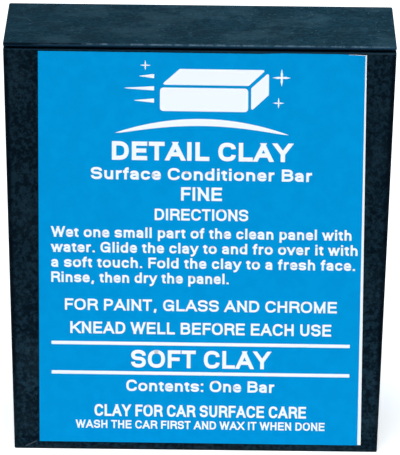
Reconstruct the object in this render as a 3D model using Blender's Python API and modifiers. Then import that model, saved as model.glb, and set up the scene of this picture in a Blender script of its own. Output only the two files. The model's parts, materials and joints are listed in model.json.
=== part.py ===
"""A detailing clay bar: a film-wrapped slab of cleaning clay in a moulded case with a flush hinged lid.

Metres, +Z up. The case stands on its base with the label facing -Y. The origin is on the surface it stands on,
under the middle of the whole object's box.
"""

import math

import bmesh
import bpy
from mathutils import Matrix, Vector

# Driving dimensions, in metres. The case's width and depth are across its top, which is its widest place.
CASE_WIDTH = 0.0802
CASE_DEPTH = 0.0324
CASE_HEIGHT = 0.0881
DRAFT = math.radians(1.5)  # each wall leans outwards by this, from base to top
WALL = 0.0014
FLOOR = 0.0015
GAP = 0.0003  # between pieces that touch

BODY_ROUND = 0.0005  # upright outer edges of the body
FOOT_ROUND = 0.0002  # outer edges of its base
RIM_ROUND = 0.00025  # outer edge of the rim under the lid
CAVITY_ROUND = 0.0010
GATE_RADIUS = 0.0025  # moulding gate recess in the middle of the base
GATE_DEPTH = 0.0003

LID_THICKNESS = 0.0010
LID_TOP_ROUND = 0.0003
LID_UNDER_ROUND = 0.0002
LID_CORNER_ROUND = 0.0005
CATCH_HEIGHT = 0.0006  # rebate under the lid's front edge, which a fingernail catches
CATCH_DEPTH = 0.0012
SKIRT_DEPTH = 0.0030  # how far the lid's plug reaches into the mouth
SKIRT_WALL = 0.0010
SKIRT_CLEARANCE = 0.00045
SKIRT_ROOT = 0.0005  # how far the skirt is sunk into the plate
SKIRT_TIP_ROUND = 0.0003
SKIRT_INNER_ROUND = 0.0005
BEAD_BELOW_PLATE = 0.0018  # from the plate's underside down to the snap bead's middle
BEAD_RADIUS = 0.0003
BEAD_PROUD = 0.00025  # how far the snap bead stands out of the skirt
BEAD_LENGTH = 0.0400
GROOVE_RADIUS = 0.00035
GROOVE_DEPTH = 0.00025

HINGE_WIDTH = 0.0640
HINGE_THICKNESS = 0.0003
HINGE_BULGE = 0.0003  # how far the strip's fold stands out from its two lands
HINGE_FOLD_HALF = 0.0005  # half the height of the fold
HINGE_LOWER_LAND = 0.0012
HINGE_UPPER_LAND = 0.0003

LABEL_WIDTH = 0.0671
LABEL_HEIGHT = 0.0851
LABEL_THICKNESS = 0.00015
LABEL_GAP = 0.0001
LABEL_BELOW_TOP = 0.00151  # from the lid's top face down to the label's top edge
LABEL_OFFSET = 0.00072  # the label is stuck on a little right of the middle
LABEL_ROLL = math.radians(-0.05)  # and a little crooked

CLAY_WIDTH = 0.0680
CLAY_THICKNESS = 0.0205
CLAY_HEIGHT = 0.0760
CLAY_ROUND = 0.0020
FILM = 0.00025
FILM_SLIT_WIDTH = 0.0600  # the film's folded end stays open along this slit
FILM_SLIT = 0.0008

# How finely curves are cut, and how sharp an edge must be to stay unsmoothed.
ROUND_SEGMENTS = 3
BEAD_SEGMENTS = 16
GATE_SEGMENTS = 32
FOLD_STEPS = 8
SHARP_ANGLE = math.radians(35)

# Worked out from the driving dimensions.
LEAN = math.tan(DRAFT)
LID_BOTTOM = CASE_HEIGHT - LID_THICKNESS
BODY_TOP = LID_BOTTOM - GAP
AXIS_Z = (BODY_TOP + LID_BOTTOM) / 2
AXIS_Y = CASE_DEPTH / 2 + GAP
BEAD_Z = LID_BOTTOM - BEAD_BELOW_PLATE
LABEL_TOP = CASE_HEIGHT - LABEL_BELOW_TOP
LABEL_FRONT = CASE_DEPTH / 2 - LABEL_BELOW_TOP * LEAN + LABEL_GAP + LABEL_THICKNESS
HINGE_BACK = CASE_DEPTH / 2 + GAP + HINGE_BULGE + HINGE_THICKNESS
CASE_Y = (LABEL_FRONT - HINGE_BACK) / 2  # puts the middle of the whole object's box at y = 0
WRAP_BOTTOM = FLOOR + GAP
CLAY_BOTTOM = WRAP_BOTTOM + FILM + GAP


def clear_scene():
    for obj in list(bpy.data.objects):
        bpy.data.objects.remove(obj)


def new_collection(name, helpers=False):
    collection = bpy.data.collections.new(name)
    collection.hide_render = helpers
    bpy.context.scene.collection.children.link(collection)
    return collection


def new_material(name, colour, roughness, alpha=1.0):
    material = bpy.data.materials.new(name)
    material.use_nodes = True
    shader = material.node_tree.nodes["Principled BSDF"]
    shader.inputs["Base Color"].default_value = (*colour, 1.0)
    shader.inputs["Roughness"].default_value = roughness
    shader.inputs["Metallic"].default_value = 0.0
    shader.inputs["Alpha"].default_value = alpha
    material.diffuse_color = (*colour, alpha)
    return material


def add_object(name, bm, collection, frame):
    """Makes an object of the bmesh, placed in the case's frame."""
    mesh = bpy.data.meshes.new(name)
    bm.to_mesh(mesh)
    bm.free()
    obj = bpy.data.objects.new(name, mesh)
    obj.parent = frame
    collection.objects.link(obj)
    if collection.hide_render:
        obj.hide_render = True
        obj.display_type = "WIRE"
    return obj


def half_at(size_at_top, z):
    """Half of a width or depth of the case, at this height."""
    return size_at_top / 2 - (CASE_HEIGHT - z) * LEAN


def tapered_box(width, depth, low, high):
    """A bmesh box between two heights, whose walls lean with the case's. The sizes are those at its top."""
    bm = bmesh.new()
    bmesh.ops.create_cube(bm, size=2.0)
    for vert in bm.verts:
        z = high if vert.co.z > 0 else low
        vert.co = Vector((vert.co.x * half_at(width, z), vert.co.y * half_at(depth, z), z))
    return bm


def straight_box(width, depth, low, high, y=0.0):
    """A bmesh box with upright walls, centred on x = 0 and on y."""
    bm = bmesh.new()
    bmesh.ops.create_cube(bm, size=1.0)
    for vert in bm.verts:
        z = high if vert.co.z > 0 else low
        vert.co = Vector((vert.co.x * width, vert.co.y * depth + y, z))
    return bm


def cylinder(radius, length, segments, axis, centre):
    """A bmesh cylinder along X or Z."""
    bm = bmesh.new()
    turn = Matrix.Rotation(math.pi / 2, 4, "Y") if axis == "X" else Matrix.Identity(4)
    bmesh.ops.create_cone(
        bm,
        cap_ends=True,
        segments=segments,
        radius1=radius,
        radius2=radius,
        depth=length,
        matrix=Matrix.Translation(centre) @ turn,
    )
    return bm


def round_edges(obj, upright, top, bottom):
    """Bevels the upright, top and bottom edges of a box, each by its own radius."""
    widest = max(upright, top, bottom)
    bm = bmesh.new()
    bm.from_mesh(obj.data)
    weights = bm.edges.layers.float.new("bevel_weight_edge")
    highest = max(vert.co.z for vert in bm.verts)
    for edge in bm.edges:
        rise = abs(edge.verts[0].co.z - edge.verts[1].co.z)
        level = bottom if edge.verts[0].co.z < highest else top
        edge[weights] = (upright if rise > 1e-6 else level) / widest
    bm.to_mesh(obj.data)
    bm.free()
    bevel = obj.modifiers.new("rounded edges", "BEVEL")
    bevel.limit_method = "WEIGHT"
    bevel.width = widest
    bevel.segments = ROUND_SEGMENTS


def boolean(obj, other, operation):
    modifier = obj.modifiers.new(f"{operation.lower()} {other.name}", "BOOLEAN")
    modifier.operation = operation
    modifier.solver = "EXACT"
    modifier.object = other


def finish(obj, material):
    obj.data.materials.append(material)
    obj.data.shade_smooth()
    obj.data.set_sharp_from_angle(angle=SHARP_ANGLE)


def make_body(parts, cutters, frame, material):
    """The deep tapered box, with a groove for the lid's bead and a gate recess under its base."""
    body = add_object("case_body", tapered_box(CASE_WIDTH, CASE_DEPTH, 0.0, BODY_TOP), parts, frame)
    round_edges(body, upright=BODY_ROUND, top=RIM_ROUND, bottom=FOOT_ROUND)

    inside = tapered_box(CASE_WIDTH - 2 * WALL, CASE_DEPTH - 2 * WALL, FLOOR, CASE_HEIGHT)
    cavity = add_object("cavity_cutter", inside, cutters, frame)
    round_edges(cavity, upright=CAVITY_ROUND, top=0.0, bottom=CAVITY_ROUND)
    boolean(body, cavity, "DIFFERENCE")

    wall_face = -half_at(CASE_DEPTH - 2 * WALL, BEAD_Z)
    centre = Vector((0.0, wall_face + GROOVE_RADIUS - GROOVE_DEPTH, BEAD_Z))
    slot = cylinder(GROOVE_RADIUS, BEAD_LENGTH + 2 * GAP, BEAD_SEGMENTS, "X", centre)
    boolean(body, add_object("groove_cutter", slot, cutters, frame), "DIFFERENCE")

    recess = cylinder(GATE_RADIUS, 2 * GATE_DEPTH, GATE_SEGMENTS, "Z", Vector((0.0, 0.0, 0.0)))
    boolean(body, add_object("gate_cutter", recess, cutters, frame), "DIFFERENCE")
    finish(body, material)


def make_lid(parts, cutters, frame, material):
    """The flush plate with its plug skirt and snap bead. Its origin is on the hinge's axis."""
    axis = Vector((0.0, AXIS_Y, AXIS_Z))
    plate = tapered_box(CASE_WIDTH, CASE_DEPTH, LID_BOTTOM, CASE_HEIGHT)
    lid = add_object("case_lid", plate, parts, frame)
    round_edges(lid, upright=LID_CORNER_ROUND, top=LID_TOP_ROUND, bottom=LID_UNDER_ROUND)
    lid.data.transform(Matrix.Translation(-axis))
    lid.location = axis

    catch_width = CASE_WIDTH + 2 * GAP
    catch_depth = GAP + CATCH_DEPTH
    catch_y = (CATCH_DEPTH - GAP - CASE_DEPTH) / 2
    catch = straight_box(catch_width, catch_depth, LID_BOTTOM - GAP, LID_BOTTOM + CATCH_HEIGHT, catch_y)
    boolean(lid, add_object("catch_cutter", catch, cutters, frame), "DIFFERENCE")

    inset = WALL + SKIRT_CLEARANCE
    skirt_low = LID_BOTTOM - SKIRT_DEPTH
    skirt_high = LID_BOTTOM + SKIRT_ROOT
    outer = tapered_box(CASE_WIDTH - 2 * inset, CASE_DEPTH - 2 * inset, skirt_low, skirt_high)
    skirt = add_object("skirt_outside", outer, cutters, frame)
    round_edges(skirt, upright=CAVITY_ROUND, top=0.0, bottom=SKIRT_TIP_ROUND)
    boolean(lid, skirt, "UNION")

    bead_y = -half_at(CASE_DEPTH - 2 * inset, BEAD_Z) + BEAD_RADIUS - BEAD_PROUD
    bead = cylinder(BEAD_RADIUS, BEAD_LENGTH, BEAD_SEGMENTS, "X", Vector((0.0, bead_y, BEAD_Z)))
    boolean(lid, add_object("bead_shape", bead, cutters, frame), "UNION")

    inset += SKIRT_WALL
    inner = tapered_box(CASE_WIDTH - 2 * inset, CASE_DEPTH - 2 * inset, skirt_low - GAP, LID_BOTTOM)
    hollow = add_object("skirt_cutter", inner, cutters, frame)
    round_edges(hollow, upright=SKIRT_INNER_ROUND, top=0.0, bottom=0.0)
    boolean(lid, hollow, "DIFFERENCE")
    finish(lid, material)


def hinge_profile():
    """Points (y, z) of the strip's inner face: a land on the body, the folded web, a land on the lid."""
    lowest = AXIS_Z - HINGE_FOLD_HALF
    highest = AXIS_Z + HINGE_FOLD_HALF
    yield half_at(CASE_DEPTH, lowest - HINGE_LOWER_LAND) + GAP, lowest - HINGE_LOWER_LAND
    for step in range(FOLD_STEPS + 1):
        t = 2 * step / FOLD_STEPS - 1
        z = AXIS_Z + t * HINGE_FOLD_HALF
        yield half_at(CASE_DEPTH, z) + GAP + HINGE_BULGE * (1 + math.cos(math.pi * t)) / 2, z
    yield half_at(CASE_DEPTH, CASE_HEIGHT) + GAP, highest + HINGE_UPPER_LAND


def make_hinge(parts, frame, material):
    """The thin strip that bends when the lid opens, folded outwards behind the parting line."""
    bm = bmesh.new()
    row = [bm.verts.new((-HINGE_WIDTH / 2, y, z)) for y, z in hinge_profile()]
    edges = [bm.edges.new(pair) for pair in zip(row, row[1:])]
    swept = bmesh.ops.extrude_edge_only(bm, edges=edges)["geom"]
    far = [item for item in swept if isinstance(item, bmesh.types.BMVert)]
    bmesh.ops.translate(bm, verts=far, vec=(HINGE_WIDTH, 0.0, 0.0))
    for face in bm.faces:
        face.normal_update()
        if face.normal.y < 0:
            face.normal_flip()
    hinge = add_object("living_hinge", bm, parts, frame)
    solid = hinge.modifiers.new("strip thickness", "SOLIDIFY")
    solid.thickness = HINGE_THICKNESS
    solid.offset = 1.0
    solid.use_even_offset = True
    finish(hinge, material)


def make_label(parts, frame, material):
    """The printed label, lying against the leaning front wall."""
    bm = straight_box(LABEL_WIDTH, LABEL_THICKNESS, -LABEL_HEIGHT / 2, LABEL_HEIGHT / 2)
    label = add_object("front_label", bm, parts, frame)
    centre_z = LABEL_TOP - LABEL_HEIGHT / 2 * math.cos(DRAFT)
    out = (LABEL_GAP + LABEL_THICKNESS / 2) / math.cos(DRAFT)
    label.location = (LABEL_OFFSET, -half_at(CASE_DEPTH, centre_z) - out, centre_z)
    label.rotation_euler = (DRAFT, LABEL_ROLL, 0.0)
    finish(label, material)


def make_clay(parts, frame, material):
    """The slab of cleaning clay, standing on edge in its wrapper."""
    box = straight_box(CLAY_WIDTH, CLAY_THICKNESS, CLAY_BOTTOM, CLAY_BOTTOM + CLAY_HEIGHT)
    clay = add_object("clay_bar", box, parts, frame)
    round_edges(clay, upright=CLAY_ROUND, top=CLAY_ROUND, bottom=CLAY_ROUND)
    finish(clay, material)


def make_wrap(parts, cutters, frame, material):
    """The clear film round the clay, open along the slit where its folded end overlaps."""
    inner_width = CLAY_WIDTH + 2 * GAP
    inner_depth = CLAY_THICKNESS + 2 * GAP
    inner_top = CLAY_BOTTOM + CLAY_HEIGHT + GAP
    outer = straight_box(inner_width + 2 * FILM, inner_depth + 2 * FILM, WRAP_BOTTOM, inner_top + FILM)
    wrap = add_object("clay_wrap", outer, parts, frame)
    outer_round = CLAY_ROUND + GAP + FILM
    round_edges(wrap, upright=outer_round, top=outer_round, bottom=outer_round)

    inner = straight_box(inner_width, inner_depth, WRAP_BOTTOM + FILM, inner_top)
    room = add_object("film_inside", inner, cutters, frame)
    inner_round = CLAY_ROUND + GAP
    round_edges(room, upright=inner_round, top=inner_round, bottom=inner_round)
    boolean(wrap, room, "DIFFERENCE")

    slit_y = inner_depth / 2 - inner_round - FILM_SLIT / 2
    slit = straight_box(FILM_SLIT_WIDTH, FILM_SLIT, inner_top - GAP, inner_top + 2 * FILM, slit_y)
    boolean(wrap, add_object("film_slit", slit, cutters, frame), "DIFFERENCE")
    finish(wrap, material)


def main():
    clear_scene()
    parts = new_collection("clay_bar_in_case")
    cutters = new_collection("cutters", helpers=True)
    frame = bpy.data.objects.new("case_frame", None)
    frame.location = (0.0, CASE_Y, 0.0)
    parts.objects.link(frame)

    plastic = new_material("black_case_plastic", (0.008, 0.016, 0.022), 0.55)
    hinge_plastic = new_material("black_hinge_plastic", (0.012, 0.020, 0.026), 0.45)
    lid_plastic = new_material("black_lid_plastic", (0.010, 0.020, 0.028), 0.60)
    print_blue = new_material("blue_label_paper", (0.001, 0.287, 0.672), 0.45)
    clay_grey = new_material("grey_blue_clay", (0.16, 0.24, 0.32), 0.70)
    film = new_material("clear_film", (0.90, 0.92, 0.94), 0.12, alpha=0.3)

    make_body(parts, cutters, frame, plastic)
    make_lid(parts, cutters, frame, lid_plastic)
    make_hinge(parts, frame, hinge_plastic)
    make_label(parts, frame, print_blue)
    make_clay(parts, frame, clay_grey)
    make_wrap(parts, cutters, frame, film)


main()
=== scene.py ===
"""Looks for the detailing clay bar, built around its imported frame: the printed label, the worn lid, the
folded hinge web, the clay and its crinkled film, and a plain pale studio. Metres, in the frame's own axes."""

import json
import math

import bmesh
import bpy
from mathutils import Matrix, Vector, noise


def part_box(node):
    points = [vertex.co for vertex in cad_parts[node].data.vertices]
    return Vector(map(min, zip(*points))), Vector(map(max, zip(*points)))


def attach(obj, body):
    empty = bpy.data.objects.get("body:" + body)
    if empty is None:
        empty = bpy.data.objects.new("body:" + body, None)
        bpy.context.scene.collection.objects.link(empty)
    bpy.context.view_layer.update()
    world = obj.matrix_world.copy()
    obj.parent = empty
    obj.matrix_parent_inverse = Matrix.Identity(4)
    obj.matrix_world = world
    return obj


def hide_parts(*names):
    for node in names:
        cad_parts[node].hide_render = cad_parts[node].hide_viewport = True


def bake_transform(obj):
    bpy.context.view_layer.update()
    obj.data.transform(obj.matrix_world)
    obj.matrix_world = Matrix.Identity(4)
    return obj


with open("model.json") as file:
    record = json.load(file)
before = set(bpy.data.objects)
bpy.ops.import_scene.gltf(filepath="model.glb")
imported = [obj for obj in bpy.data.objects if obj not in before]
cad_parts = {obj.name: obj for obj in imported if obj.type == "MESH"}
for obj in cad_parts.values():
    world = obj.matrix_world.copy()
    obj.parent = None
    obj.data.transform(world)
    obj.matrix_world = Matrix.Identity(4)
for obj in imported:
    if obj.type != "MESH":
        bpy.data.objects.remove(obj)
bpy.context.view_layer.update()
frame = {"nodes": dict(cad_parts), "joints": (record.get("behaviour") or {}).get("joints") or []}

MM = 0.001
DRAFT = math.radians(1.5)

# Places read from the frame.
lid_low, lid_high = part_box("case_lid")
body_low, body_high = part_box("case_body")
clay_low, clay_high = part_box("clay_bar")
hinge_low, hinge_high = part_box("living_hinge")
lid_joint = next(j for j in frame["joints"] if j["name"] == "lid_hinge")
hinge_axis = Vector(lid_joint["pos_m"])

# Camera: a long lens, a little above the case.
CAMERA_LENS = 415.3
CAMERA_DISTANCE = 1.0783
CAMERA_PITCH = math.radians(17.035)
CAMERA_AZIMUTH = math.radians(-0.144)
CAMERA_ROLL = math.radians(0.607)
CAMERA_AIM = Vector((0.42 * MM, lid_low.y, 49.3 * MM))

# Label build-up, as heights above the case's front wall.
PAPER_BACK = 0.02 * MM
PAPER_FRONT = 0.12 * MM
INK_FRONT = 0.135 * MM
PRINT_FRONT = 0.155 * MM
LABEL_SHEAR = 0.0036  # the label was cut a little out of square
CORNER_CURL = 0.30 * MM
CORNER_REACH = 5.0 * MM
TRIM = 0.09 * MM  # how far print and paper stop inside the CAD label's outline
PAPER_INSET = 0.16 * MM  # the same for the paper at the three edges that the print covers
STRIP_TOP = 0.37 * MM  # bare paper along the right edge, at the top and at the bottom
STRIP_BOTTOM = 0.79 * MM
CORNER_DROP = 0.15 * MM  # bare paper above the print at the top right corner, and how far it reaches
DROP_LENGTH = 5.0 * MM
CUT_DEPTH = 0.17 * MM  # the top edge is cut lower along its left and middle than along its right end
CUT_RISE = 0.04 * MM  # how far that end is raised
CUT_END = 17.0 * MM  # where the cut starts to deepen leftwards, from the label's middle, and over what length
CUT_LENGTH = 6.0 * MM
CURL_ZONE = 6.0 * MM  # where the label's grid is finer, for the curled corner
CURL_CELLS = 12
COARSE_CELLS = 40


# ---------------------------------------------------------------- shader helpers


def new_material(name):
    material = bpy.data.materials.new(name)
    material.use_nodes = True
    tree = material.node_tree
    return material, tree, tree.nodes["Principled BSDF"]


def add_node(tree, kind, inputs=None, **settings):
    """Adds a node. Each input is a value, or the socket that feeds it."""
    node = tree.nodes.new(kind)
    for key, value in settings.items():
        setattr(node, key, value)
    for key, value in (inputs or {}).items():
        if isinstance(value, bpy.types.NodeSocket):
            tree.links.new(value, node.inputs[key])
        else:
            node.inputs[key].default_value = value
    return node


def place(tree):
    """The surface's place in its piece's own frame, in millimetres."""
    metres = add_node(tree, "ShaderNodeTexCoord").outputs["Object"]
    return add_node(tree, "ShaderNodeVectorMath", {0: metres, "Scale": 1 / MM}, operation="SCALE").outputs[0]


def coordinates(tree, at):
    """The x, y and z sockets of a place."""
    return add_node(tree, "ShaderNodeSeparateXYZ", {0: at}).outputs[:]


def stretched(tree, vector, scale):
    return add_node(tree, "ShaderNodeVectorMath", {0: vector, 1: scale}, operation="MULTIPLY").outputs[0]


def grain(tree, vector, scale, detail=3.0, rough=0.55, distortion=0.0):
    """Noise from 0 to 1, with about this many lumps to a millimetre."""
    inputs = {"Vector": vector, "Scale": scale, "Detail": detail}
    inputs |= {"Roughness": rough, "Distortion": distortion}
    return add_node(tree, "ShaderNodeTexNoise", inputs).outputs["Fac"]


def remap(tree, value, low, high, to_low=0.0, to_high=1.0):
    """A soft step from to_low where the value is low to to_high where it is high. Low may be the larger."""
    inputs = {"Value": value, "From Min": low, "From Max": high, "To Min": to_low, "To Max": to_high}
    node = add_node(tree, "ShaderNodeMapRange", inputs, clamp=True, interpolation_type="SMOOTHSTEP")
    return node.outputs[0]


def maths(tree, operation, first, second=0.0):
    return add_node(tree, "ShaderNodeMath", {0: first, 1: second}, operation=operation).outputs[0]


def product(tree, first, *others):
    for other in others:
        first = maths(tree, "MULTIPLY", first, other)
    return first


def blend_colours(tree, factor, first, second):
    mix = add_node(tree, "ShaderNodeMix", data_type="RGBA")
    for socket, value in ((mix.inputs[0], factor), (mix.inputs[6], first), (mix.inputs[7], second)):
        if isinstance(value, bpy.types.NodeSocket):
            tree.links.new(value, socket)
        else:
            socket.default_value = value if isinstance(value, float) else (*value, 1.0)
    return mix.outputs[2]


def bump(tree, height, distance, strength=1.0):
    """A normal from a height of 0 to 1, which stands for this distance in metres."""
    inputs = {"Height": height, "Distance": distance, "Strength": strength}
    return add_node(tree, "ShaderNodeBump", inputs).outputs[0]


def link(tree, socket, shader, name):
    tree.links.new(socket, shader.inputs[name])


# ---------------------------------------------------------------- materials

# Colours, as linear red, green and blue.
DUST = (0.052, 0.110, 0.140)
PAINTED_SHADE_UPPER_WALL = (0.0001, 0.0004, 0.0010)
PAINTED_CORNER_SHADE = (0.00005, 0.0001, 0.0002)
# Painted reflection of the pale floor, for the case's foot.
PAINTED_FLOOR_REFLECTION = (0.014, 0.017, 0.020)
# Painted highlight under the case's rim.
PAINTED_RIDGE_HIGHLIGHT = (0.012, 0.024, 0.032)
RIM_PAINTED_LIGHT = (0.0065, 0.0200, 0.0330)
SCRATCH = (0.050, 0.065, 0.080)
LID_PAINTED_SHADE = (0.0006, 0.0030, 0.0050)
# Wear and painted highlight for the lid's edges.
WORN_EDGE_AND_HIGHLIGHT = (0.070, 0.110, 0.143)
# Painted shade for the lid's dimmer edges.
PAINTED_EDGE_SHADE = (0.0005, 0.0018, 0.0030)
LID_UNDERSIDE_SHADE = (0.0022, 0.0085, 0.0140)
CATCH_RECESS_PAINTED_LIGHT = (0.0120, 0.0440, 0.0800)
STRESS_MARK = (0.045, 0.07, 0.09)
PLASTIC_SHEEN = (0.16, 0.55, 1.0, 1.0)


def specks(tree, at, scale, size, share):
    """Small round specks, one in some of the cells of this many per millimetre, of this radius in cells."""
    cells = add_node(tree, "ShaderNodeTexVoronoi", {"Vector": at, "Scale": scale, "Randomness": 1.0})
    chosen = remap(tree, cells.outputs["Color"], 1.0 - share, 1.0 - share + 0.1)
    dot = remap(tree, cells.outputs["Distance"], size, size * 0.5)
    return product(tree, dot, chosen)


def corner_shade(tree, at, reach):
    """Rises to 1 at the case's upright edges, within this reach in millimetres, unevenly along them."""
    x, y, z = coordinates(tree, at)
    down = maths(tree, "SUBTRACT", lid_high.z / MM, z)
    lean = product(tree, down, math.tan(DRAFT))
    depths = []  # below the nearer side wall, and below the front or back wall
    for place_across, low, high in ((x, body_low.x, body_high.x), (y, lid_low.y, lid_high.y)):
        offset = maths(tree, "SUBTRACT", place_across, (low + high) / 2 / MM)
        inside = maths(tree, "SUBTRACT", (high - low) / 2 / MM, maths(tree, "ABSOLUTE", offset))
        depths.append(maths(tree, "SUBTRACT", inside, lean))
    near = remap(tree, maths(tree, "ADD", *depths), reach, 0.45)
    uneven = remap(tree, grain(tree, at, 0.4, 4.0, 0.7), 0.40, 0.55, 0.6, 1.0)
    return product(tree, near, uneven)


def plastic_material(name, dark, light, rough, dust, shine):
    """Moulded polypropylene: a fine pebbled skin, an uneven tone, and pale dust where dust is above 0."""
    material, tree, shader = new_material(name)
    at = place(tree)
    broad = grain(tree, at, 0.10, 4.0, 0.6, 0.4)
    fine = grain(tree, at, 1.05, 3.0, 0.70)
    tone = maths(tree, "ADD", product(tree, broad, 0.25), product(tree, fine, 0.75))
    colour = blend_colours(tree, remap(tree, tone, 0.425, 0.60), dark, light)

    clouds = remap(tree, grain(tree, at, 0.13, 4.0, 0.6), 0.44, 0.66)
    dots = maths(tree, "ADD", specks(tree, at, 0.55, 0.16, 0.6), specks(tree, at, 1.1, 0.24, 0.35))
    dusty = product(tree, maths(tree, "ADD", dots, product(tree, clouds, 0.35)), dust)
    colour = blend_colours(tree, dusty, colour, DUST)
    link(tree, colour, shader, "Base Color")

    skin = grain(tree, at, 2.2, 3.0, 0.6)
    link(tree, bump(tree, skin, 0.10 * MM, 0.6), shader, "Normal")
    link(tree, remap(tree, broad, 0.3, 0.7, rough - 0.08, rough + 0.08), shader, "Roughness")
    shader.inputs["Specular IOR Level"].default_value = shine
    shader.inputs["Specular Tint"].default_value = PLASTIC_SHEEN
    return material, tree, shader, at, colour


def scratch_mask(tree, x, y, z):
    """A short scratch on the front wall, by the label's lower left corner."""
    start, end = Vector((-33.2, 1.7)), Vector((-35.5, 0.5))
    length = (end - start).length
    run = (end - start).normalized()
    across = maths(tree, "SUBTRACT", x, start.x)
    up = maths(tree, "SUBTRACT", z, start.y)
    along = maths(tree, "ADD", product(tree, across, run.x), product(tree, up, run.y))
    off = maths(tree, "SUBTRACT", product(tree, across, -run.y), product(tree, up, -run.x))
    line = remap(tree, maths(tree, "ABSOLUTE", off), 0.16, 0.06)
    ends = product(tree, remap(tree, along, -0.1, 0.1), remap(tree, along, length + 0.1, length - 0.3))
    front = remap(tree, y, body_low.y / MM + 6.0, body_low.y / MM + 5.0)
    return product(tree, line, ends, front)


def body_material():
    """The case's plastic, scratched, with painted shade up its walls and at its corners, a painted highlight
    below its rim, painted light on the rim and a painted floor reflection at its foot.
    """
    material, tree, shader, at, colour = plastic_material(
        "case_plastic", (0.0010, 0.0030, 0.0050), (0.0080, 0.0240, 0.0362), 0.55, 0.18, 0.10
    )
    x, y, z = coordinates(tree, at)
    # Painted shade: the walls darker towards the top.
    colour = blend_colours(tree, remap(tree, z, 12.0, 45.0, 0.0, 0.32), colour, PAINTED_SHADE_UPPER_WALL)
    # Painted shade at the upright corners, where the walls turn away from the light; less of it near the
    # foot.
    corners = product(tree, corner_shade(tree, at, 1.3), remap(tree, z, 3.0, 25.0, 0.5, 1.0))
    colour = blend_colours(tree, corners, colour, PAINTED_CORNER_SHADE)
    # Painted reflection of the pale floor: a paler grey along the foot.
    colour = blend_colours(tree, remap(tree, z, 1.5, 0.3, 0.0, 0.22), colour, PAINTED_FLOOR_REFLECTION)

    # Painted highlight: a pale line just under the parting line, which grows to the right, where the rim's
    # edge catches light. Painted light on the rim's own edge, lifting the shade in the groove under the lid.
    below_rim = maths(tree, "SUBTRACT", body_high.z / MM, z)
    ridge = remap(tree, maths(tree, "ABSOLUTE", maths(tree, "SUBTRACT", below_rim, 0.22)), 0.18, 0.06)
    ridge = product(tree, ridge, remap(tree, x, -30.0, 36.0))
    colour = blend_colours(tree, ridge, colour, PAINTED_RIDGE_HIGHLIGHT)
    colour = blend_colours(tree, remap(tree, below_rim, 0.10, 0.05), colour, RIM_PAINTED_LIGHT)

    colour = blend_colours(tree, scratch_mask(tree, x, y, z), colour, SCRATCH)
    link(tree, colour, shader, "Base Color")
    return material


def lid_material():
    """The case's plastic with more dust and painted shade to the left, rubbed bright and painted with a
    highlight along its front edge and faintly along its back.
    """
    material, tree, shader, at, colour = plastic_material(
        "lid_plastic", (0.0031, 0.0142, 0.0218), (0.0070, 0.0328, 0.0492), 0.58, 0.7, 0.22
    )
    x, y, z = coordinates(tree, at)
    # Painted shade: the lid darker towards its left.
    colour = blend_colours(tree, remap(tree, x, 34.0, -30.0, 0.0, 0.28), colour, LID_PAINTED_SHADE)

    # Wear and a painted highlight on the top's front and back edges. Both are faint at their left end, and
    # weaker at their right.
    front = remap(tree, y, lid_low.y / MM + 0.60, lid_low.y / MM + 0.20)
    back = remap(tree, y, lid_high.y / MM - 0.45, lid_high.y / MM - 0.15, 0.0, 0.25)
    top = remap(tree, z, lid_high.z / MM - 0.40, lid_high.z / MM - 0.15)
    edges = product(tree, maths(tree, "ADD", front, back), top)
    streaks = grain(tree, stretched(tree, at, (1.0, 0.05, 0.05)), 0.45, 5.0, 0.75)
    worn_and_lit = remap(tree, x, -26.0, -18.0, 0.15, 1.0)
    rubbed_and_lit = product(tree, remap(tree, streaks, 0.42, 0.60, 0.1, 1.0), worn_and_lit)
    rubbed_and_lit = product(tree, rubbed_and_lit, remap(tree, x, 33.0, 37.0, 1.0, 0.55))
    # Painted shade: the edges darkened where they are little rubbed and lit, towards their left end, and the
    # front edge's far left end too.
    shaded_edges = product(tree, edges, remap(tree, worn_and_lit, 0.15, 1.0, 0.95, 0.0))
    left_end = product(tree, front, remap(tree, x, -31.0, -35.0, 0.0, 0.95))
    colour = blend_colours(tree, shaded_edges, colour, PAINTED_EDGE_SHADE)
    colour = blend_colours(tree, product(tree, edges, rubbed_and_lit), colour, WORN_EDGE_AND_HIGHLIGHT)

    # The lip's lower side and the skirt, darker as painted shade and as undusted plastic, with painted light
    # making the catch recess paler at the front.
    lower = remap(tree, z, lid_high.z / MM - 0.20, lid_high.z / MM - 0.32)
    catch = remap(tree, y, lid_low.y / MM + 1.5, lid_low.y / MM + 1.3)
    colour = blend_colours(tree, lower, colour, LID_UNDERSIDE_SHADE)
    colour = blend_colours(tree, product(tree, lower, catch), colour, CATCH_RECESS_PAINTED_LIGHT)
    colour = blend_colours(tree, left_end, colour, PAINTED_EDGE_SHADE)
    link(tree, colour, shader, "Base Color")

    # The edges with painted shade, and the front edge's left end, are as rough as they can be, so that they
    # don't glint.
    skin_roughness = shader.inputs["Roughness"].links[0].from_socket
    dull = maths(tree, "MAXIMUM", shaded_edges, left_end)
    link(tree, maths(tree, "MAXIMUM", skin_roughness, dull), shader, "Roughness")
    return material


def hinge_material():
    """The same plastic, flexed: paler stress marks run along the fold."""
    material, tree, shader, at, colour = plastic_material(
        "hinge_plastic", (0.0010, 0.0040, 0.0070), (0.0040, 0.0120, 0.0180), 0.42, 0.1, 0.22
    )
    streaks = grain(tree, stretched(tree, at, (0.12, 1.0, 1.0)), 6.0, 2.0)
    marks = remap(tree, streaks, 0.50, 0.70, 0.0, 0.5)
    link(tree, blend_colours(tree, marks, colour, STRESS_MARK), shader, "Base Color")
    return material


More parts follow.
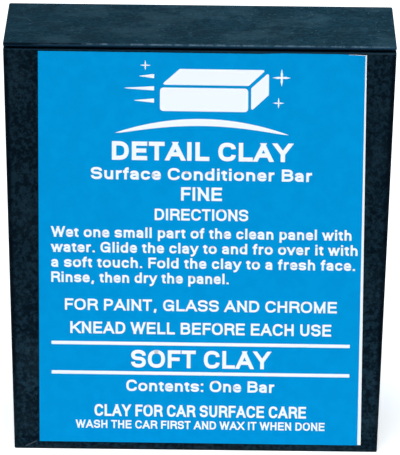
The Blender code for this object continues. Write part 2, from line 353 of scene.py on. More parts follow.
def paper_material():
    """Bare white label paper, faintly fibrous."""
    material, tree, shader = new_material("label_paper")
    at = place(tree)
    fibre = grain(tree, at, 4.0, 5.0, 0.65)
    link(tree, blend_colours(tree, fibre, (0.86, 0.87, 0.88), (0.95, 0.95, 0.95)), shader, "Base Color")
    link(tree, bump(tree, fibre, 0.012 * MM, 0.4), shader, "Normal")
    shader.inputs["Roughness"].default_value = 0.55
    shader.inputs["Specular IOR Level"].default_value = 0.15
    return material


def ink_material():
    """Flat blue litho ink on coated paper, with a faint mottle."""
    material, tree, shader = new_material("label_blue_ink")
    at = place(tree)
    mottle = grain(tree, at, 0.35, 5.0, 0.6)
    colour = blend_colours(tree, remap(tree, mottle, 0.3, 0.7), (0.0, 0.276, 0.610), (0.0, 0.300, 0.650))
    link(tree, colour, shader, "Base Color")
    fibre = grain(tree, at, 4.0, 5.0, 0.65)
    link(tree, bump(tree, fibre, 0.010 * MM, 0.35), shader, "Normal")
    link(tree, remap(tree, mottle, 0.3, 0.7, 0.40, 0.50), shader, "Roughness")
    shader.inputs["Specular IOR Level"].default_value = 0.12
    shader.inputs["Specular Tint"].default_value = (0.02, 0.45, 1.0, 1.0)
    return material


def print_material():
    """White print, a little smoother and brighter than the paper."""
    material, tree, shader = new_material("label_white_print")
    fibre = grain(tree, place(tree), 4.0, 5.0, 0.65)
    link(tree, blend_colours(tree, fibre, (0.90, 0.91, 0.92), (0.98, 0.98, 0.98)), shader, "Base Color")
    shader.inputs["Roughness"].default_value = 0.5
    shader.inputs["Specular IOR Level"].default_value = 0.1
    return material


def clay_material():
    """Kneaded putty: marbled blue-grey, waxy, with fine abrasive grit."""
    material, tree, shader = new_material("clay_putty")
    at = place(tree)
    marble = grain(tree, at, 0.05, 5.0, 0.6, 1.5)
    grit = grain(tree, at, 2.6, 3.0, 0.6)
    veins = remap(tree, marble, 0.35, 0.65)
    colour = blend_colours(tree, veins, (0.130, 0.200, 0.275), (0.200, 0.290, 0.385))
    dots = remap(tree, grit, 0.62, 0.72, 0.0, 0.35)
    link(tree, blend_colours(tree, dots, colour, (0.06, 0.10, 0.15)), shader, "Base Color")
    height = maths(tree, "ADD", product(tree, marble, 0.7), product(tree, grit, 0.3))
    link(tree, bump(tree, height, 0.25 * MM, 0.6), shader, "Normal")
    link(tree, remap(tree, marble, 0.3, 0.7, 0.52, 0.70), shader, "Roughness")
    shader.inputs["Subsurface Weight"].default_value = 0.15
    shader.inputs["Subsurface Radius"].default_value = (0.4, 0.6, 0.9)
    shader.inputs["Subsurface Scale"].default_value = 1.0 * MM
    return material


def film_material():
    """Thin clear film, slightly clouded and finely creased."""
    material, tree, shader = new_material("clear_film")
    shader.inputs["Base Color"].default_value = (0.96, 0.98, 1.0, 1.0)
    shader.inputs["Transmission Weight"].default_value = 1.0
    shader.inputs["IOR"].default_value = 1.35
    at = place(tree)
    cloud = grain(tree, at, 0.5, 4.0, 0.6)
    link(tree, remap(tree, cloud, 0.3, 0.7, 0.05, 0.16), shader, "Roughness")
    link(tree, bump(tree, grain(tree, at, 0.8, 3.0, 0.5, 1.2), 0.25 * MM, 0.7), shader, "Normal")
    return material


def floor_material():
    """A matt pale floor, lifted to white where the camera sees it."""
    material, tree, shader = new_material("pale_floor")
    shader.inputs["Base Color"].default_value = (0.80, 0.80, 0.80, 1.0)
    shader.inputs["Roughness"].default_value = 0.9
    shader.inputs["Specular IOR Level"].default_value = 0.0
    shader.inputs["Emission Color"].default_value = (1.0, 1.0, 1.0, 1.0)
    seen = add_node(tree, "ShaderNodeLightPath").outputs["Is Camera Ray"]
    link(tree, product(tree, seen, 0.42), shader, "Emission Strength")
    return material


# ---------------------------------------------------------------- mesh helpers


def add_piece(name, bm, material, body, smooth=True, sharp=35.0):
    """Makes an object of the bmesh, riding on a body unless that is None, and finished from a slot."""
    mesh = bpy.data.meshes.new(name)
    bm.to_mesh(mesh)
    bm.free()
    mesh.materials.append(material)
    if smooth:
        mesh.shade_smooth()
        mesh.set_sharp_from_angle(angle=math.radians(sharp))
    piece = bpy.data.objects.new(name, mesh)
    bpy.context.scene.collection.objects.link(piece)
    if body:
        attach(piece, body)
    return piece


def bridge_rings(bm, rings):
    """Joins each closed ring of vertices to the next with quads."""
    for first, second in zip(rings, rings[1:]):
        count = len(first)
        for i in range(count):
            j = (i + 1) % count
            bm.faces.new((first[i], first[j], second[j], second[i]))


def closed_slab(bm, lower, upper):
    """Two grids of vertices, joined round their border into one closed sheet."""
    for grid, flip in ((lower, True), (upper, False)):
        for row, next_row in zip(grid, grid[1:]):
            for i in range(len(row) - 1):
                corners = [row[i], row[i + 1], next_row[i + 1], next_row[i]]
                bm.faces.new(corners[::-1] if flip else corners)

    def border(grid):
        right = [row[-1] for row in grid[1:]]
        top = grid[-1][-2::-1]
        left = [row[0] for row in grid[-2:0:-1]]
        return [*grid[0], *right, *top, *left]

    bridge_rings(bm, [border(lower), border(upper)])


# ---------------------------------------------------------------- label


def label_axes():
    """From the CAD label: its middle, on the wall behind it, its three directions, its width and height."""
    low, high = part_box("front_label")
    middle = (low + high) / 2
    points = [v.co for v in frame["nodes"]["front_label"].data.vertices]

    def corner(right, top):
        found = [p for p in points if (p.x > middle.x) == right and (p.z > middle.z) == top]
        return min(found, key=lambda p: p.y)

    top_left, top_right, bottom_left = corner(False, True), corner(True, True), corner(False, False)
    across, upward = top_right - top_left, top_left - bottom_left
    centre = (top_right + bottom_left) / 2
    right, up = across.normalized(), upward.normalized()
    out = right.cross(up)
    top_of_wall = Vector((0.0, body_low.y, body_high.z))
    wall_gap = (centre - top_of_wall).dot(out)
    return centre - out * wall_gap, right, up, out, across.length, upward.length


label_centre, label_right, label_up, label_out, LABEL_WIDTH, LABEL_HEIGHT = label_axes()


def on_label(u, v, lift):
    """The point at u to the right of and v above the label's middle, at this height above the wall."""
    away = math.hypot(LABEL_WIDTH / 2 - u, LABEL_HEIGHT / 2 - v)
    curl = CORNER_CURL * max(0.0, 1 - away / CORNER_REACH) ** 2
    side = label_right * (u - LABEL_SHEAR * v)
    rise = label_up * (v - LABEL_SHEAR * u)
    return label_centre + side + rise + label_out * (lift + curl)


def spread(low, high):
    """Places from low to high, closer together near the high end, where the label curls."""
    knee = high - CURL_ZONE
    coarse = [low + (knee - low) * k / COARSE_CELLS for k in range(COARSE_CELLS)]
    return coarse + [knee + CURL_ZONE * k / CURL_CELLS for k in range(CURL_CELLS + 1)]


def corner_drop(u, v):
    """How far the print stands below a square label's top edge, with bare paper above its right corner."""
    along = (u - LABEL_WIDTH / 2 + DROP_LENGTH) / DROP_LENGTH
    near_top = (v - LABEL_HEIGHT / 2 + DROP_LENGTH) / DROP_LENGTH
    return CORNER_DROP * max(0.0, along) ** 0.5 * max(0.0, near_top) + top_cut(u, v)


def top_cut(u, v):
    """How far the label's top edge was cut below its right-hand end, along the rest of its length."""
    along = min(1.0, max(0.0, (CUT_END - u) / CUT_LENGTH))
    near_top = max(0.0, (v - LABEL_HEIGHT / 2 + DROP_LENGTH) / DROP_LENGTH)
    return (CUT_DEPTH * along**2 * (3 - 2 * along) - CUT_RISE) * near_top


def label_sheet(name, low, high, inset, right_inset, material, drop):
    """A thin closed sheet over the label, from one height above the wall to another. It stands in from three
    edges by the inset, from the right edge by an amount that may change with height, and is lowered by the
    drop, a distance for each point."""
    bm = bmesh.new()
    grids = []
    for lift in (low, high):
        grid = []
        for v in spread(inset - LABEL_HEIGHT / 2, LABEL_HEIGHT / 2 - inset):
            across = spread(inset - LABEL_WIDTH / 2, LABEL_WIDTH / 2 - right_inset(v))
            grid.append([bm.verts.new(on_label(u, v - drop(u, v), lift)) for u in across])
        grids.append(grid)
    closed_slab(bm, *grids)
    return add_piece(name, bm, material, "case", sharp=60.0)


def strip_width(v):
    """How far the print stands in from the label's right edge, at this height above the middle."""
    down = 0.5 - v / LABEL_HEIGHT
    return STRIP_TOP + (STRIP_BOTTOM - STRIP_TOP) * down


# Letterforms of a plain wide grotesque. Each has the width between its outer strokes' middles, in cap
# heights, its kind of left and right side, and its strokes, split by bars. A stroke's points run from 0 to 1
# across that width and from 0 at the baseline to 1 at the cap line. A tilde marks a corner that is curved.
LETTERS = {
    "A": (0.77, "dd", "0,0 .5,1|.5,1 1,0|.2,.29 .8,.29"),
    "B": (0.65, "sr", "0,0 0,1|0,1 .5,1 ~.94,1 ~.94,.54 .5,.54 0,.54|.5,.54 ~1,.54 ~1,0 .5,0 0,0"),
    "C": (0.69, "rr", "1,.70 ~1,1 ~0,1 ~0,0 ~1,0 1,.30"),
    "D": (0.66, "sr", "0,0 0,1|0,1 .4,1 ~1,1 ~1,0 .4,0 0,0"),
    "E": (0.58, "sr", "1,1 0,1 0,0 1,0|0,.52 .92,.52"),
    "F": (0.52, "sd", "1,1 0,1 0,0|0,.50 .90,.50"),
    "G": (0.73, "rs", "1,.70 ~1,1 ~0,1 ~0,0 ~.95,0 1,.46|.55,.46 1,.46|1,.46 1,0"),
    "H": (0.61, "ss", "0,0 0,1|1,0 1,1|0,.52 1,.52"),
    "I": (0.0, "ss", "0,0 0,1"),
    "K": (0.70, "sd", "0,0 0,1|0,.33 1,1|.34,.58 1,0"),
    "L": (0.51, "sd", "0,1 0,0 1,0"),
    "M": (0.76, "ss", "0,0 0,1|1,0 1,1|0,1 .5,0|.5,0 1,1"),
    "N": (0.61, "ss", "0,0 0,1|1,0 1,1|0,1 1,0"),
    "O": (0.77, "rr", ".5,1 ~0,1 ~0,0 ~1,0 ~1,1 .5,1"),
    "P": (0.57, "sr", "0,0 0,1|0,1 .5,1 ~1,1 ~1,.45 .5,.45 0,.45"),
    "R": (0.67, "sd", "0,0 0,1|0,1 .5,1 ~.97,1 ~.97,.49 .5,.49 0,.49|.4,.49 ~.92,.49 .93,.20 1,0"),
    "S": (0.63, "rr", "1,.72 ~1,1 ~0,1 ~0,.52 ~1,.52 ~1,0 ~0,0 0,.28"),
    "T": (0.60, "dd", ".5,0 .5,1|0,1 1,1"),
    "U": (0.61, "ss", "0,1 0,.4 ~0,0 ~1,0 1,.4 1,1"),
    "W": (1.10, "dd", "0,1 .25,0|.25,0 .5,1|.5,1 .75,0|.75,0 1,1"),
    "X": (0.70, "dd", "0,0 1,1|0,1 1,0"),
    "Y": (0.70, "dd", "0,1 .5,.40|1,1 .5,.40|.5,.45 .5,0"),
    "a": (0.48, "rr", "0,.50 ~0,.68 ~.92,.68 .92,.4 .92,0|.92,.40 .5,.38 ~0,.36 ~0,0 ~.92,0 .92,.34"),
    "c": (0.48, "rr", "1,.46 ~1,.68 ~0,.68 ~0,0 ~1,0 1,.22"),
    "d": (0.50, "rs", "1,1 1,0|.5,.68 ~0,.68 ~0,0 ~1,0 ~1,.68 .5,.68"),
    "e": (0.48, "rr", "0,.34 1,.34 ~1,.68 ~0,.68 ~0,0 ~1,0 1,.16"),
    "f": (0.25, "dd", ".95,1 ~.4,1 .4,.72 .4,0|0,.68 .90,.68"),
    "g": (0.50, "rs", "1,.68 1,-.08 ~1,-.34 ~0,-.34 0,-.20|.5,.68 ~0,.68 ~0,0 ~1,0 ~1,.68 .5,.68"),
    "h": (0.46, "ss", "0,1 0,0|0,.35 ~0,.68 ~1,.68 1,.35 1,0"),
    "i": (0.0, "ss", "0,.68 0,0|0,.90 0,1"),
    "l": (0.0, "ss", "0,1 0,0"),
    "m": (0.84, "ss", "0,.68 0,0|0,.38 ~0,.68 ~.5,.68 .5,.38 .5,0|.5,.38 ~.5,.68 ~1,.68 1,.38 1,0"),
    "n": (0.46, "ss", "0,.68 0,0|0,.35 ~0,.68 ~1,.68 1,.35 1,0"),
    "o": (0.56, "rr", ".5,.68 ~0,.68 ~0,0 ~1,0 ~1,.68 .5,.68"),
    "p": (0.50, "sr", "0,.68 0,-.34|.5,.68 ~0,.68 ~0,0 ~1,0 ~1,.68 .5,.68"),
    "r": (0.26, "sd", "0,.68 0,0|0,.34 ~0,.66 .90,.68"),
    "s": (0.50, "rr", "1,.50 ~1,.68 ~0,.68 ~0,.34 ~1,.34 ~1,0 ~0,0 0,.18"),
    "t": (0.24, "dd", ".4,.90 .4,.2 ~.4,0 .90,0|0,.68 .90,.68"),
    "u": (0.46, "ss", "1,.68 1,0|0,.68 0,.33 ~0,0 ~1,0 1,.33"),
    "v": (0.55, "dd", "0,.68 .5,0|.5,0 1,.68"),
    "w": (0.87, "dd", "0,.68 .25,0|.25,0 .5,.68|.5,.68 .75,0|.75,0 1,.68"),
    "y": (0.55, "dd", "0,.68 .5,0|1,.68 .48,-.12 ~.36,-.34 .08,-.34"),
    ".": (0.0, "ss", "0,0 0,.10"),
    ",": (0.08, "ss", "0,-.30 1,.10"),
    ":": (0.0, "ss", "0,0 0,.10|0,.58 0,.68"),
}
# The space left beside a straight, round or diagonal side, and between words, in cap heights.
SIDES = {"s": 0.10, "r": 0.06, "d": 0.03}
WORD_SPACE = 0.38
TYPE_LINES = (0.0, 1.0, 0.68, -0.34)  # baseline, cap line, x-height, descender: strokes are cut level there
CURVE_STEPS = 6
LAYER_STEP = 0.002 * MM


def stroke_path(text):
    """The points of a stroke, with its curved corners drawn out."""
    points, curved = [], []
    for word in text.split():
        x, y = word.lstrip("~").split(",")
        points.append(Vector((float(x), float(y))))
        curved.append(word[0] == "~")
    path = [points[0]]
    for i in range(1, len(points)):
        corner = points[i]
        if not curved[i]:
            path.append(corner)
            continue
        start = (points[i - 1] + corner) / 2 if curved[i - 1] else points[i - 1]
        end = (corner + points[i + 1]) / 2 if curved[i + 1] else points[i + 1]
        for s in range(1, CURVE_STEPS + 1):
            t = s / CURVE_STEPS
            path.append((1 - t) ** 2 * start + 2 * t * (1 - t) * corner + t**2 * end)
    return [p for k, p in enumerate(path) if k == 0 or (p - path[k - 1]).length > 1e-4]


def stroke_edges(path, levels, half_weight):
    """Pairs of points on a stroke's left and right edges. An end whose level, the height of its point on the
    type's scale, is one of the type's lines is cut level there."""
    pairs = []
    last = len(path) - 1
    for k, point in enumerate(path):
        before = (point - path[k - 1]).normalized() if k else None
        after = (path[k + 1] - point).normalized() if k < last else None
        if before and after:
            run = (before + after).normalized()
            side = Vector((-run.y, run.x)) * min(half_weight / max(run.dot(after), 0.3), 1.5 * half_weight)
            pairs.append((point + side, point - side))
            continue
        run = before or after
        outward = run if before else -run
        side = Vector((-run.y, run.x)) * half_weight
        ends = [point + side, point - side]
        if abs(outward.y) > 0.5 and any(abs(levels[k] - line) < 1e-6 for line in TYPE_LINES):
            target = point.y + math.copysign(half_weight, outward.y)
            ends = [end + outward * ((target - end.y) / outward.y) for end in ends]
        elif abs(outward.x) > 0.85:
            ends = [end + outward * half_weight for end in ends]
        pairs.append(tuple(ends))
    return pairs


def print_line(bm, words, width, cap, baseline, weight, left):
    """One line of print. Its sizes are in mm, and its weight in cap heights. Its baseline is measured down
    from the label's top edge, and its left end from the label's middle."""
    stroke = weight * cap
    spans = [WORD_SPACE if c == " " else LETTERS[c][0] + sum(SIDES[k] for k in LETTERS[c][1]) for c in words]
    first, final = LETTERS[words[0]], LETTERS[words[-1]]
    trimmed = sum(spans) - SIDES[first[1][0]] - SIDES[final[1][1]]
    inked = sum(c != " " for c in words)
    unit = (width - inked * stroke) / trimmed  # what one cap height across becomes
    cursor = left - SIDES[first[1][0]] * unit
    for char, span in zip(words, spans):
        if char != " ":
            across, sides, strokes = LETTERS[char]
            start = cursor + SIDES[sides[0]] * unit + stroke / 2
            for layer, text in enumerate(strokes.split("|")):
                path = stroke_path(text)
                levels = [p.y for p in path]
                placed = [
                    Vector((start + p.x * across * unit, stroke / 2 + p.y * (cap - stroke) - baseline))
                    for p in path
                ]
                print_pairs(bm, stroke_edges(placed, levels, stroke / 2), layer * LAYER_STEP)
            cursor += stroke
        cursor += span * unit


def print_pairs(bm, pairs, extra):
    """A thin raised strip between pairs of points, in mm from the middle of the label's top edge. Strokes
    that cross differ in their extra height, so that no two faces lie in one plane."""
    grids = []
    for lift in (INK_FRONT, PRINT_FRONT + extra):
        grid = []
        for pair in pairs:
            grid.append([bm.verts.new(on_label(p.x * MM, LABEL_HEIGHT / 2 + p.y * MM, lift)) for p in pair])
        grids.append(grid)
    closed_slab(bm, *grids)


def flat_mesh(curve):
    """The filled, extruded mesh of a 2D curve."""
    holder = bpy.data.objects.new("print_source", curve)
    bpy.context.scene.collection.objects.link(holder)
    bpy.context.view_layer.update()
    graph = bpy.context.evaluated_depsgraph_get()
    mesh = bpy.data.meshes.new_from_object(holder.evaluated_get(graph))
    bpy.data.objects.remove(holder)
    return mesh


def print_shape(bm, points):
    """A filled outline. Its points are in mm, to the right of the label's middle and below its top edge."""
    curve = bpy.data.curves.new("shape", "CURVE")
    curve.dimensions = "2D"
    curve.fill_mode = "BOTH"
    curve.extrude = 0.01  # this gives it a front and a back, whose true heights are set below
    spline = curve.splines.new("POLY")
    spline.points.add(len(points) - 1)
    for target, (x, y) in zip(spline.points, points):
        target.co = (x, y, 0.0, 1.0)
    spline.use_cyclic_u = True
    mesh = flat_mesh(curve)
    part = bmesh.new()
    part.from_mesh(mesh)
    bmesh.ops.remove_doubles(part, verts=part.verts, dist=1e-5)
    for vert in part.verts:
        lift = PRINT_FRONT if vert.co.z > 0 else INK_FRONT
        vert.co = on_label(vert.co.x * MM, LABEL_HEIGHT / 2 - vert.co.y * MM, lift)
    part.to_mesh(mesh)
    part.free()
    bm.from_mesh(mesh)
    bpy.data.meshes.remove(mesh)


def rounded(points, radius, steps=5):
    """An outline with each of its corners rounded off."""
    result = []
    count = len(points)
    for i, corner in enumerate(points):
        corner = Vector(corner)
        before = (Vector(points[i - 1]) - corner).normalized()
        after = (Vector(points[(i + 1) % count]) - corner).normalized()
        reach = radius / math.tan(before.angle(after) / 2)
        start, end = corner + before * reach, corner + after * reach
        for s in range(steps + 1):
            t = s / steps
            result.append(tuple((1 - t) ** 2 * start + 2 * t * (1 - t) * corner + t**2 * end))
    return result


def sparkle(x, y, size, points=4, steps=6):
    """A star with points whose sides curve inwards."""
    outline = []
    for k in range(points):
        for s in range(steps):
            t = s / steps
            angle = 2 * math.pi * (k + t) / points
            reach = size * (0.16 + 0.84 * abs(2 * t - 1) ** 2.6)
            outline.append((x + reach * math.sin(angle), y - reach * math.cos(angle)))
    return outline


def crescent(left, right, ends_y, rise, thickness, steps=28):
    """A long thin arc that is thickest in its middle and comes to a point at both ends."""
    upper, lower = [], []
    for s in range(steps + 1):
        t = s / steps
        x = left + (right - left) * t
        arch = 4 * t * (1 - t)
        y = ends_y - rise * arch
        upper.append((x, y))
        if 0 < s < steps:
            lower.append((x, y + thickness * arch**0.7))
    return upper + lower[::-1]


def print_emblem(bm):
    """A generic picture: a block of clay drawn in the round, gliding over a curved panel, with sparkles."""
    front = [(-8.6, 7.6), (9.4, 7.6), (9.4, 12.6), (-8.6, 12.6)]
    top = [(-8.3, 7.0), (-4.6, 3.6), (13.0, 3.6), (9.5, 7.0)]
    side = [(10.0, 7.5), (13.6, 4.1), (13.6, 8.9), (10.0, 12.4)]
    for outline, radius in ((front, 0.8), (top, 0.35), (side, 0.35)):
        print_shape(bm, rounded(outline, radius))
    for y, start in ((5.2, -13.2), (7.8, -16.6), (10.4, -14.4)):
        print_shape(bm, rounded([(start, y), (-9.8, y - 0.45), (-9.8, y + 0.45)], 0.1))
    print_shape(bm, crescent(-17.8, 17.8, 17.4, 3.2, 1.5))
    for x, y, size in ((16.2, 5.2, 1.9), (15.6, 10.6, 1.2), (-11.6, 2.9, 1.1)):
        print_shape(bm, sparkle(x, y, size))


def make_label():
    paper = label_sheet(
        "label_paper", PAPER_BACK, PAPER_FRONT, PAPER_INSET, lambda v: TRIM, paper_material(), top_cut
    )
    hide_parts("front_label")
    label_sheet("label_blue_field", PAPER_BACK, INK_FRONT, TRIM, strip_width, ink_material(), corner_drop)

    bm = bmesh.new()
    print_emblem(bm)
    centred_rows = (  # words, width, cap height, baseline and weight
        ("DETAIL CLAY", 36.8, 4.0, 23.2, 0.225),
        ("Surface Conditioner Bar", 45.4, 2.6, 27.4, 0.20),
        ("FINE", 8.4, 2.9, 31.8, 0.19),
        ("DIRECTIONS", 19.2, 2.5, 36.1, 0.18),
        ("FOR PAINT, GLASS AND CHROME", 56.2, 2.5, 55.9, 0.18),
        ("KNEAD WELL BEFORE EACH USE", 54.0, 2.6, 61.0, 0.18),
        ("SOFT CLAY", 28.8, 3.9, 68.4, 0.20),
        ("Contents: One Bar", 30.8, 2.5, 73.6, 0.19),
        ("CLAY FOR CAR SURFACE CARE", 44.0, 2.6, 79.2, 0.18),
        ("WASH THE CAR FIRST AND WAX IT WHEN DONE", 51.8, 1.8, 81.9, 0.18),
    )
    for words, width, cap, baseline, weight in centred_rows:
        print_line(bm, words, width, cap, baseline, weight, left=-width / 2)
    margin = 30.9  # the rules and the directions start this far from the middle
    directions = (
        ("Wet one small part of the clean panel with", 61.8),
        ("water. Glide the clay to and fro over it with", 63.1),
        ("a soft touch. Fold the clay to a fresh face.", 62.6),
        ("Rinse, then dry the panel.", 36.6),
    )
    for row, (words, width) in enumerate(directions):
        print_line(bm, words, width, 2.3, 40.0 + 3.28 * row, 0.19, left=-margin)
    for y in (63.1, 69.6):
        over, under = y - 0.36, y + 0.36
        rule = [(-margin, over), (margin, over), (margin, under), (-margin, under)]
        print_shape(bm, rounded(rule, 0.1))
    add_piece("label_white_print", bm, print_material(), "case", smooth=False)


# ---------------------------------------------------------------- hinge web


def make_hinge():
    """The thin web of the moulding, folded outwards behind the parting line and joined to body and lid."""
    half_width = (hinge_high.x - hinge_low.x) / 2
    back = lid_high.y
    thick = 0.28 * MM
    fold = 0.55 * MM  # half the fold's height
    bulge = 0.42 * MM  # how far the fold stands out from the back wall
    sunk = 0.12 * MM  # how far its lands sink into the plastic they grow out of
    lower_land = 1.3 * MM
    upper_land = 0.25 * MM
    profile = []
    steps = 20
    for s in range(steps + 1):
        t = 2 * s / steps - 1
        z = hinge_axis.z + t * fold
        wall = back - (lid_high.z - z) * math.tan(DRAFT)
        profile.append((wall - sunk + (bulge + sunk) * (1 + math.cos(math.pi * t)) / 2, z))
    foot = hinge_axis.z - fold - lower_land
    profile.insert(0, (back - (lid_high.z - foot) * math.tan(DRAFT) - sunk, foot))
    profile.append((back - sunk, hinge_axis.z + fold + upper_land))

    bm = bmesh.new()
    columns = 40
    grids = []
    for layer in (0, 1):
        grid = []
        for k, (y, z) in enumerate(profile):
            before, after = profile[max(k - 1, 0)], profile[min(k + 1, len(profile) - 1)]
            run = Vector((after[0] - before[0], after[1] - before[1])).normalized()
            out = Vector((run.y, -run.x)) * thick * layer
            row = []
            for c in range(columns + 1):
                x = -half_width + 2 * half_width * c / columns
                ripple = 0.02 * MM * noise.noise(Vector((x * 300, 0.0, z * 900)))
                row.append(bm.verts.new((x, y + out.x + ripple * layer, z + out.y)))
            grid.append(row)
        grids.append(grid)
    closed_slab(bm, *grids)
    bmesh.ops.recalc_face_normals(bm, faces=bm.faces)
    web = add_piece("hinge_web", bm, hinge_material(), None)
    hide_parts("living_hinge")
    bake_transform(web)


# ---------------------------------------------------------------- clay and film


def rounded_ring(half_x, half_y, radius, per_corner=8, per_side=(26, 8)):
    """Points round a rectangle with rounded corners, with points along its long and short sides too."""
    ring = []
    corners = ((1, 1, 0), (-1, 1, 90), (-1, -1, 180), (1, -1, 270))
    for index, (sx, sy, start) in enumerate(corners):
        centre = Vector((sx * (half_x - radius), sy * (half_y - radius)))
        for s in range(per_corner + 1):
            angle = math.radians(start + 90 * s / per_corner)
            ring.append(centre + Vector((math.cos(angle), math.sin(angle))) * radius)
        along = per_side[0] if index % 2 == 0 else per_side[1]
        next_x, next_y, next_start = corners[(index + 1) % 4]
        angle = math.radians(next_start)
        end = Vector((next_x * (half_x - radius), next_y * (half_y - radius)))
        end += Vector((math.cos(angle), math.sin(angle))) * radius
        first = ring[-1].copy()
        for s in range(1, along):
            ring.append(first.lerp(end, s / along))
    return ring


def make_clay():
    """A pressed slab: soft corners, faintly dished faces and a hand-torn unevenness."""
    middle = (clay_low + clay_high) / 2
    half = (clay_high - clay_low) / 2
    round_off = 2.6 * MM
    levels = 44
    bend_share = 0.14  # of the levels, for the rounding at each end
    bm = bmesh.new()
    rings = []
    for level in range(levels + 1):
        t = level / levels
        if t < bend_share or t > 1 - bend_share:
            share = t / bend_share if t < bend_share else (1 - t) / bend_share
            angle = share * math.pi / 2
            inset = round_off * (1 - math.sin(angle))
            drop = round_off * (1 - math.cos(angle))
            z = -half.z + drop if t < bend_share else half.z - drop
        else:
            inset = 0.0
            z = -half.z + round_off + (2 * half.z - 2 * round_off) * (t - bend_share) / (1 - 2 * bend_share)
        ring = []
        for point in rounded_ring(half.x - inset, half.y - inset, round_off + 0.4 * MM):
            at = Vector((point.x, point.y, z))
            outward = Vector((point.x / half.x, point.y / half.y, 0.0)).normalized()
            rough = noise.fractal(at * 60, 0.8, 2.0, 4) * 0.22 * MM - 0.25 * MM
            ring.append(bm.verts.new(middle + at + outward * rough))
        rings.append(ring)
    bridge_rings(bm, rings)
    for ring, high in ((rings[0], False), (rings[-1], True)):
        inner = ring
        for share in (0.8, 0.6, 0.4, 0.2):
            centre = sum((v.co for v in ring), Vector()) / len(ring)
            step = []
            for v in ring:
                at = centre + (v.co - centre) * share
                swell = noise.noise(at * 90) * 0.25 * MM
                step.append(bm.verts.new(at + Vector((0.0, 0.0, (swell - 0.1 * MM) if high else 0.0))))
            bridge_rings(bm, [inner, step])
            inner = step
        bm.faces.new(inner)
    bmesh.ops.recalc_face_normals(bm, faces=bm.faces)
    clay = add_piece("clay_slab", bm, clay_material(), "case", sharp=80.0)
    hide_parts("clay_bar")


def crinkle(at, amount):
    """How far a point of the film is moved by its folds, creases and wrinkles."""
    folds = noise.noise(Vector((at.x * 230, at.y * 260, at.z * 120)))
    creases = abs(noise.noise(Vector((at.x * 420 + 7, at.y * 420, at.z * 300))))
    wrinkles = abs(noise.noise(Vector((at.x * 150 + at.y * 300 + 3, at.y * 90 - at.x * 60, at.z * 90))))
    return amount * (0.5 * folds - 0.7 * creases - 0.7 * wrinkles)


def make_film():
    """The clear wrapper: a crinkled tube round the slab, drawn together over its top in a folded fin."""
    low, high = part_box("clay_wrap")
    middle = (low + high) / 2
    half = (high - low) / 2
    top = high.z + 0.3 * MM
    gathered_rise = 1.1 * MM
    gathered_width = 0.97
    half_gap = 0.05 * MM  # half the gap between the fin's two layers
    fin_rise = 0.5 * MM
    fin_length = 7.5 * MM
    side_levels, close_levels, fin_levels = 60, 24, 20
    base = rounded_ring(half.x, half.y, 3.0 * MM, per_side=(64, 10))
    bm = bmesh.new()
    rings = []

    for level in range(side_levels + 1):
        z = low.z + (top - low.z) * level / side_levels
        ring = []
        for point in base:
            outward = Vector((point.x / half.x, point.y / half.y, 0.0)).normalized()
            at = Vector((middle.x + point.x, middle.y + point.y, z))
            ring.append(bm.verts.new(at + outward * crinkle(at, 0.28 * MM)))
        rings.append(ring)

    for level in range(1, close_levels + 1):
        rise = math.sin(level / close_levels * math.pi / 2)
        gather = rise**0.9
        ring = []
        for point in base:
            x = point.x * (1 - (1 - gathered_width) * gather)
            y = point.y * (1 - gather) + math.copysign(half_gap, point.y) * gather
            at = Vector((middle.x + x, middle.y + y, top + gathered_rise * rise))
            ring.append(bm.verts.new(at + Vector((0.0, 0.0, crinkle(at, 0.70 * MM)))))
        rings.append(ring)

    for level in range(1, fin_levels + 1):
        t = level / fin_levels
        turn = min(1.0, t * 4)  # the layers turn from upright to level in the fin's first quarter
        ring = []
        for point in base:
            layer = math.copysign(half_gap, point.y)
            ribs = 0.10 * MM * math.sin(point.x / MM * 6.0) * min(1.0, max(0.0, t * 4 - 1.6))
            y = middle.y - fin_length * t + layer * (1 - turn)
            z = top + gathered_rise + fin_rise * math.sin(turn * math.pi / 2) - layer * turn + ribs
            z += crinkle(Vector((point.x, y, 0.3)), 0.50 * MM) - 0.2 * MM * t
            ring.append(bm.verts.new((middle.x + point.x * gathered_width, y, z)))
        rings.append(ring)

    bridge_rings(bm, rings)
    bm.faces.new(rings[0][::-1])
    bmesh.ops.recalc_face_normals(bm, faces=bm.faces)
    film = add_piece("film_wrap", bm, film_material(), "case", sharp=180.0)
    thick = film.modifiers.new("film thickness", "SOLIDIFY")
    thick.thickness = 0.05 * MM
    thick.offset = 0.0
    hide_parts("clay_wrap")


# ---------------------------------------------------------------- studio


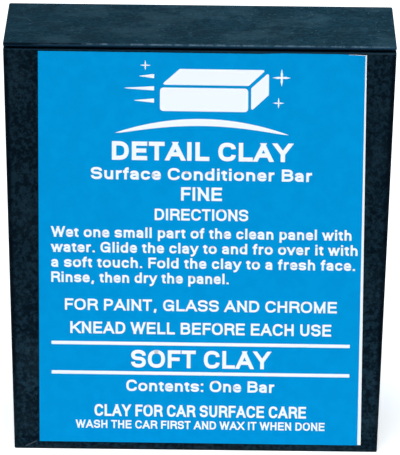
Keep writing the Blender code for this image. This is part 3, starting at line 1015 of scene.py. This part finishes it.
def make_camera():
    """A camera that looks at its aim from in front and above, rolled a little."""
    level = math.cos(CAMERA_PITCH)
    forward = Vector(
        (math.sin(CAMERA_AZIMUTH) * level, math.cos(CAMERA_AZIMUTH) * level, -math.sin(CAMERA_PITCH))
    )
    right = forward.cross(Vector((0.0, 0.0, 1.0))).normalized()
    up = right.cross(forward)
    tilted_right = right * math.cos(CAMERA_ROLL) + up * math.sin(CAMERA_ROLL)
    tilted_up = up * math.cos(CAMERA_ROLL) - right * math.sin(CAMERA_ROLL)
    axes = Matrix((tilted_right, tilted_up, -forward)).transposed()
    data = bpy.data.cameras.new("camera")
    data.lens = CAMERA_LENS
    data.clip_start = 0.01
    camera = bpy.data.objects.new("camera", data)
    camera.matrix_world = Matrix.Translation(CAMERA_AIM - forward * CAMERA_DISTANCE) @ axes.to_4x4()
    bpy.context.scene.collection.objects.link(camera)
    bpy.context.scene.camera = camera


def add_sun(name, strength, spread, elevation, azimuth, colour=(1.0, 1.0, 1.0)):
    """A soft distant light. Azimuth 0 is in front of the label, and grows to the right."""
    data = bpy.data.lights.new(name, "SUN")
    data.energy = strength
    data.angle = math.radians(spread)
    data.color = colour
    light = bpy.data.objects.new(name, data)
    high, turn = math.radians(elevation), math.radians(azimuth)
    source = Vector((math.sin(turn) * math.cos(high), -math.cos(turn) * math.cos(high), math.sin(high)))
    light.rotation_euler = source.to_track_quat("Z", "Y").to_euler()
    bpy.context.scene.collection.objects.link(light)


def make_studio():
    """A wide pale floor, two soft lights and a sky that lights bluish and looks white."""
    bm = bmesh.new()
    bmesh.ops.create_grid(bm, x_segments=1, y_segments=1, size=6.0)
    mesh = bpy.data.meshes.new("floor")
    bm.to_mesh(mesh)
    bm.free()
    mesh.materials.append(floor_material())
    floor = bpy.data.objects.new("floor", mesh)
    bpy.context.scene.collection.objects.link(floor)

    add_sun("key_light", 3.4, 45.0, 70.0, -8.0)
    add_sun("front_light", 0.30, 60.0, 20.0, 10.0)

    world = bpy.data.worlds.new("studio")
    world.use_nodes = True
    tree = world.node_tree
    background = tree.nodes["Background"]
    seen = add_node(tree, "ShaderNodeLightPath").outputs["Is Camera Ray"]
    sky = blend_colours(tree, seen, (0.10, 0.19, 0.26), (1.0, 1.0, 1.0))
    tree.links.new(sky, background.inputs["Color"])
    bpy.context.scene.world = world
    bpy.context.scene.view_settings.view_transform = "Standard"


def set_material(node, material):
    """Gives a CAD node a material, with its flat faces shaded flat and its rounds smooth."""
    mesh = frame["nodes"][node].data
    mesh.materials.clear()
    mesh.materials.append(material)
    mesh.shade_smooth()
    mesh.set_sharp_from_angle(angle=math.radians(35))


# ---------------------------------------------------------------- the whole scene

make_camera()
make_studio()
set_material("case_body", body_material())
set_material("case_lid", lid_material())
make_label()
make_hinge()
make_clay()
make_film()
